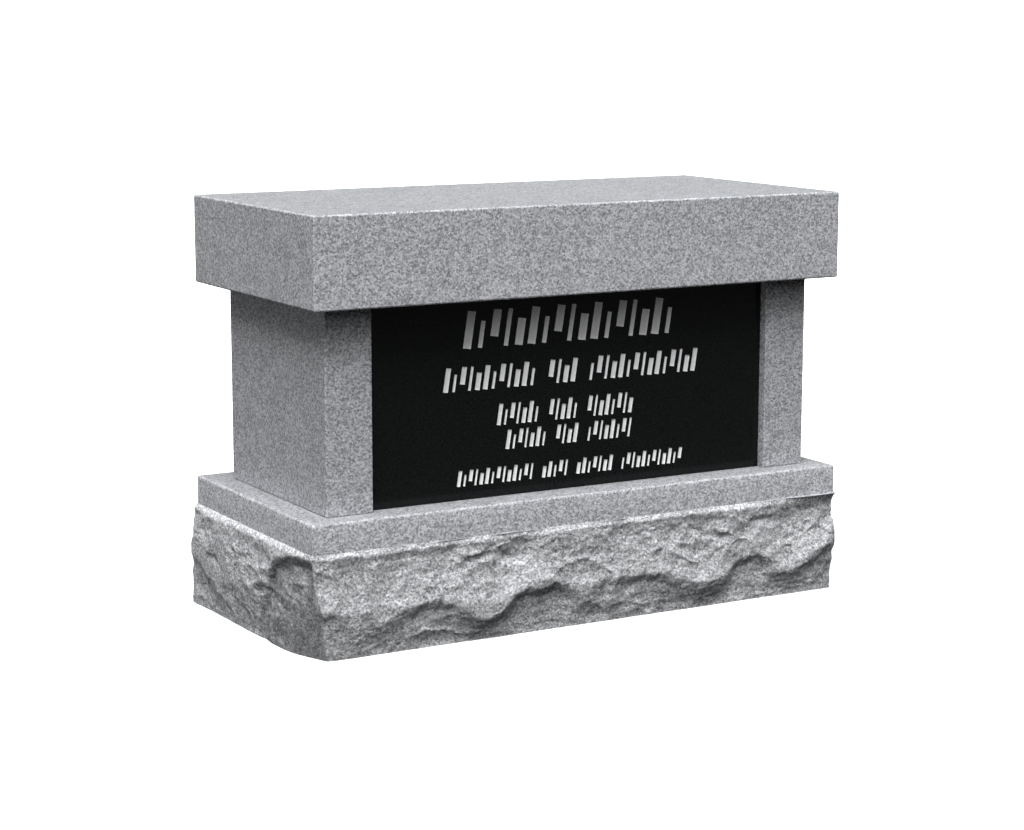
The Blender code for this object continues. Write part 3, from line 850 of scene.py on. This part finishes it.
# The seat's upper edges are painted lighter, a painted highlight, and its top darker, a painted
# shade, as shares of their tone
SEAT_EDGE_PAINTED_HIGHLIGHT = 1.08
SEAT_TOP_PAINTED_SHADE = 0.73
seat_sawn = (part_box("seat"), SEAT_EASING, SEAT_EDGE_PAINTED_HIGHLIGHT, SEAT_TOP_PAINTED_SHADE)
seat_granite = granite(
    "seat_granite", STEELED, STEELED_GRAIN, SEAT_ROUGHNESS, STEELED_BUMP, sawn=seat_sawn
)
dress("seat", seat_granite)

# The studio
# A plain white sweep: a flat floor that curves up into a wall all round, out of the picture.
# It takes the bench's shadow, and glows faintly by the bench and fully from the curve on, so
# that it's white from every side. It sheds no light on the stones and doesn't mirror in them.
FLAT_RADIUS = 5.0
SWEEP_RADIUS = 14.0
CURVE_RADIUS = SWEEP_RADIUS - FLAT_RADIUS
CURVE_STEPS = 12
ROUND_STEPS = 64
WALL_HEIGHT = 12.0
FLOOR_DROP = 0.0002
FLOOR_GLOW = 0.35
GLOW_START = 1.0
bm = bmesh.new()
profile = [bm.verts.new((0.0, 0.0, 0.0)), bm.verts.new((FLAT_RADIUS, 0.0, 0.0))]
for step in range(1, CURVE_STEPS + 1):
    angle = math.radians(90 * step / CURVE_STEPS)
    across = FLAT_RADIUS + CURVE_RADIUS * math.sin(angle)
    profile.append(bm.verts.new((across, 0.0, CURVE_RADIUS * (1 - math.cos(angle)))))
profile.append(bm.verts.new((SWEEP_RADIUS, 0.0, WALL_HEIGHT)))
edges = [bm.edges.new(pair) for pair in zip(profile, profile[1:])]
bmesh.ops.spin(
    bm,
    geom=profile + edges,
    cent=(0, 0, 0),
    axis=(0, 0, 1),
    angle=math.tau,
    steps=ROUND_STEPS,
    use_merge=True,
)
bmesh.ops.remove_doubles(bm, verts=bm.verts, dist=0.0001)
sweep = piece_from("sweep", bm)
if sweep.data.polygons[0].normal.z < 0:
    sweep.data.flip_normals()
sweep.data.shade_smooth()
sweep.location.z = -FLOOR_DROP
white, tree, shader = new_finish("white_sweep")
shader.inputs["Base Color"].default_value = (0.90, 0.90, 0.90, 1)
shader.inputs["Roughness"].default_value = 1.0
shader.inputs["Specular IOR Level"].default_value = 0.0
shader.inputs["Emission Color"].default_value = (1, 1, 1, 1)
where = tree.nodes.new("ShaderNodeTexCoord")
radius = tree.nodes.new("ShaderNodeVectorMath")
radius.operation = "LENGTH"
glow = tree.nodes.new("ShaderNodeMapRange")
glow.inputs["From Min"].default_value = GLOW_START
glow.inputs["From Max"].default_value = FLAT_RADIUS
glow.inputs["To Min"].default_value = FLOOR_GLOW
tree.links.new(where.outputs["Object"], radius.inputs[0])
tree.links.new(radius.outputs["Value"], glow.inputs["Value"])
tree.links.new(glow.outputs["Result"], shader.inputs["Emission Strength"])
sweep.data.materials.append(white)
sweep.visible_diffuse = False
sweep.visible_glossy = False
sweep.visible_shadow = False

# The sky lends the stones a faint mirror light and no other
MIRROR_LIGHT = 0.15
sky = bpy.data.worlds.new("sky")
sky.use_nodes = True
sky.node_tree.nodes["Background"].inputs["Color"].default_value = (1.0, 1.0, 1.0, 1)
sky.node_tree.nodes["Background"].inputs["Strength"].default_value = MIRROR_LIGHT
sky.cycles_visibility.diffuse = False
bpy.context.scene.world = sky

LIGHT_SPREAD = math.radians(42)


def soft_light(name, azimuth, elevation, strength, glossy=True):
    """A broad soft light. Azimuth 0 comes from the front and 90 from the left."""
    lamp = bpy.data.lights.new(name, "SUN")
    lamp.angle = LIGHT_SPREAD
    lamp.energy = strength * math.pi
    azimuth = math.radians(azimuth)
    elevation = math.radians(elevation)
    level = math.cos(elevation)
    towards = Vector((math.sin(azimuth) * level, math.cos(azimuth) * level, -math.sin(elevation)))
    light = bpy.data.objects.new(name, lamp)
    light.rotation_euler = towards.to_track_quat("-Z", "Y").to_euler()
    light.visible_glossy = glossy
    bpy.context.scene.collection.objects.link(light)


soft_light("key", 36, 67, 1.38)
soft_light("key_front", 38, 50, 0.27)
soft_light("front_fill", 12, 31, 0.15)
soft_light("side_fill", 90, 8, 0.12)
soft_light("back_fill", 235, 12, 0.42, glossy=False)
bpy.context.scene.view_settings.view_transform = "Standard"
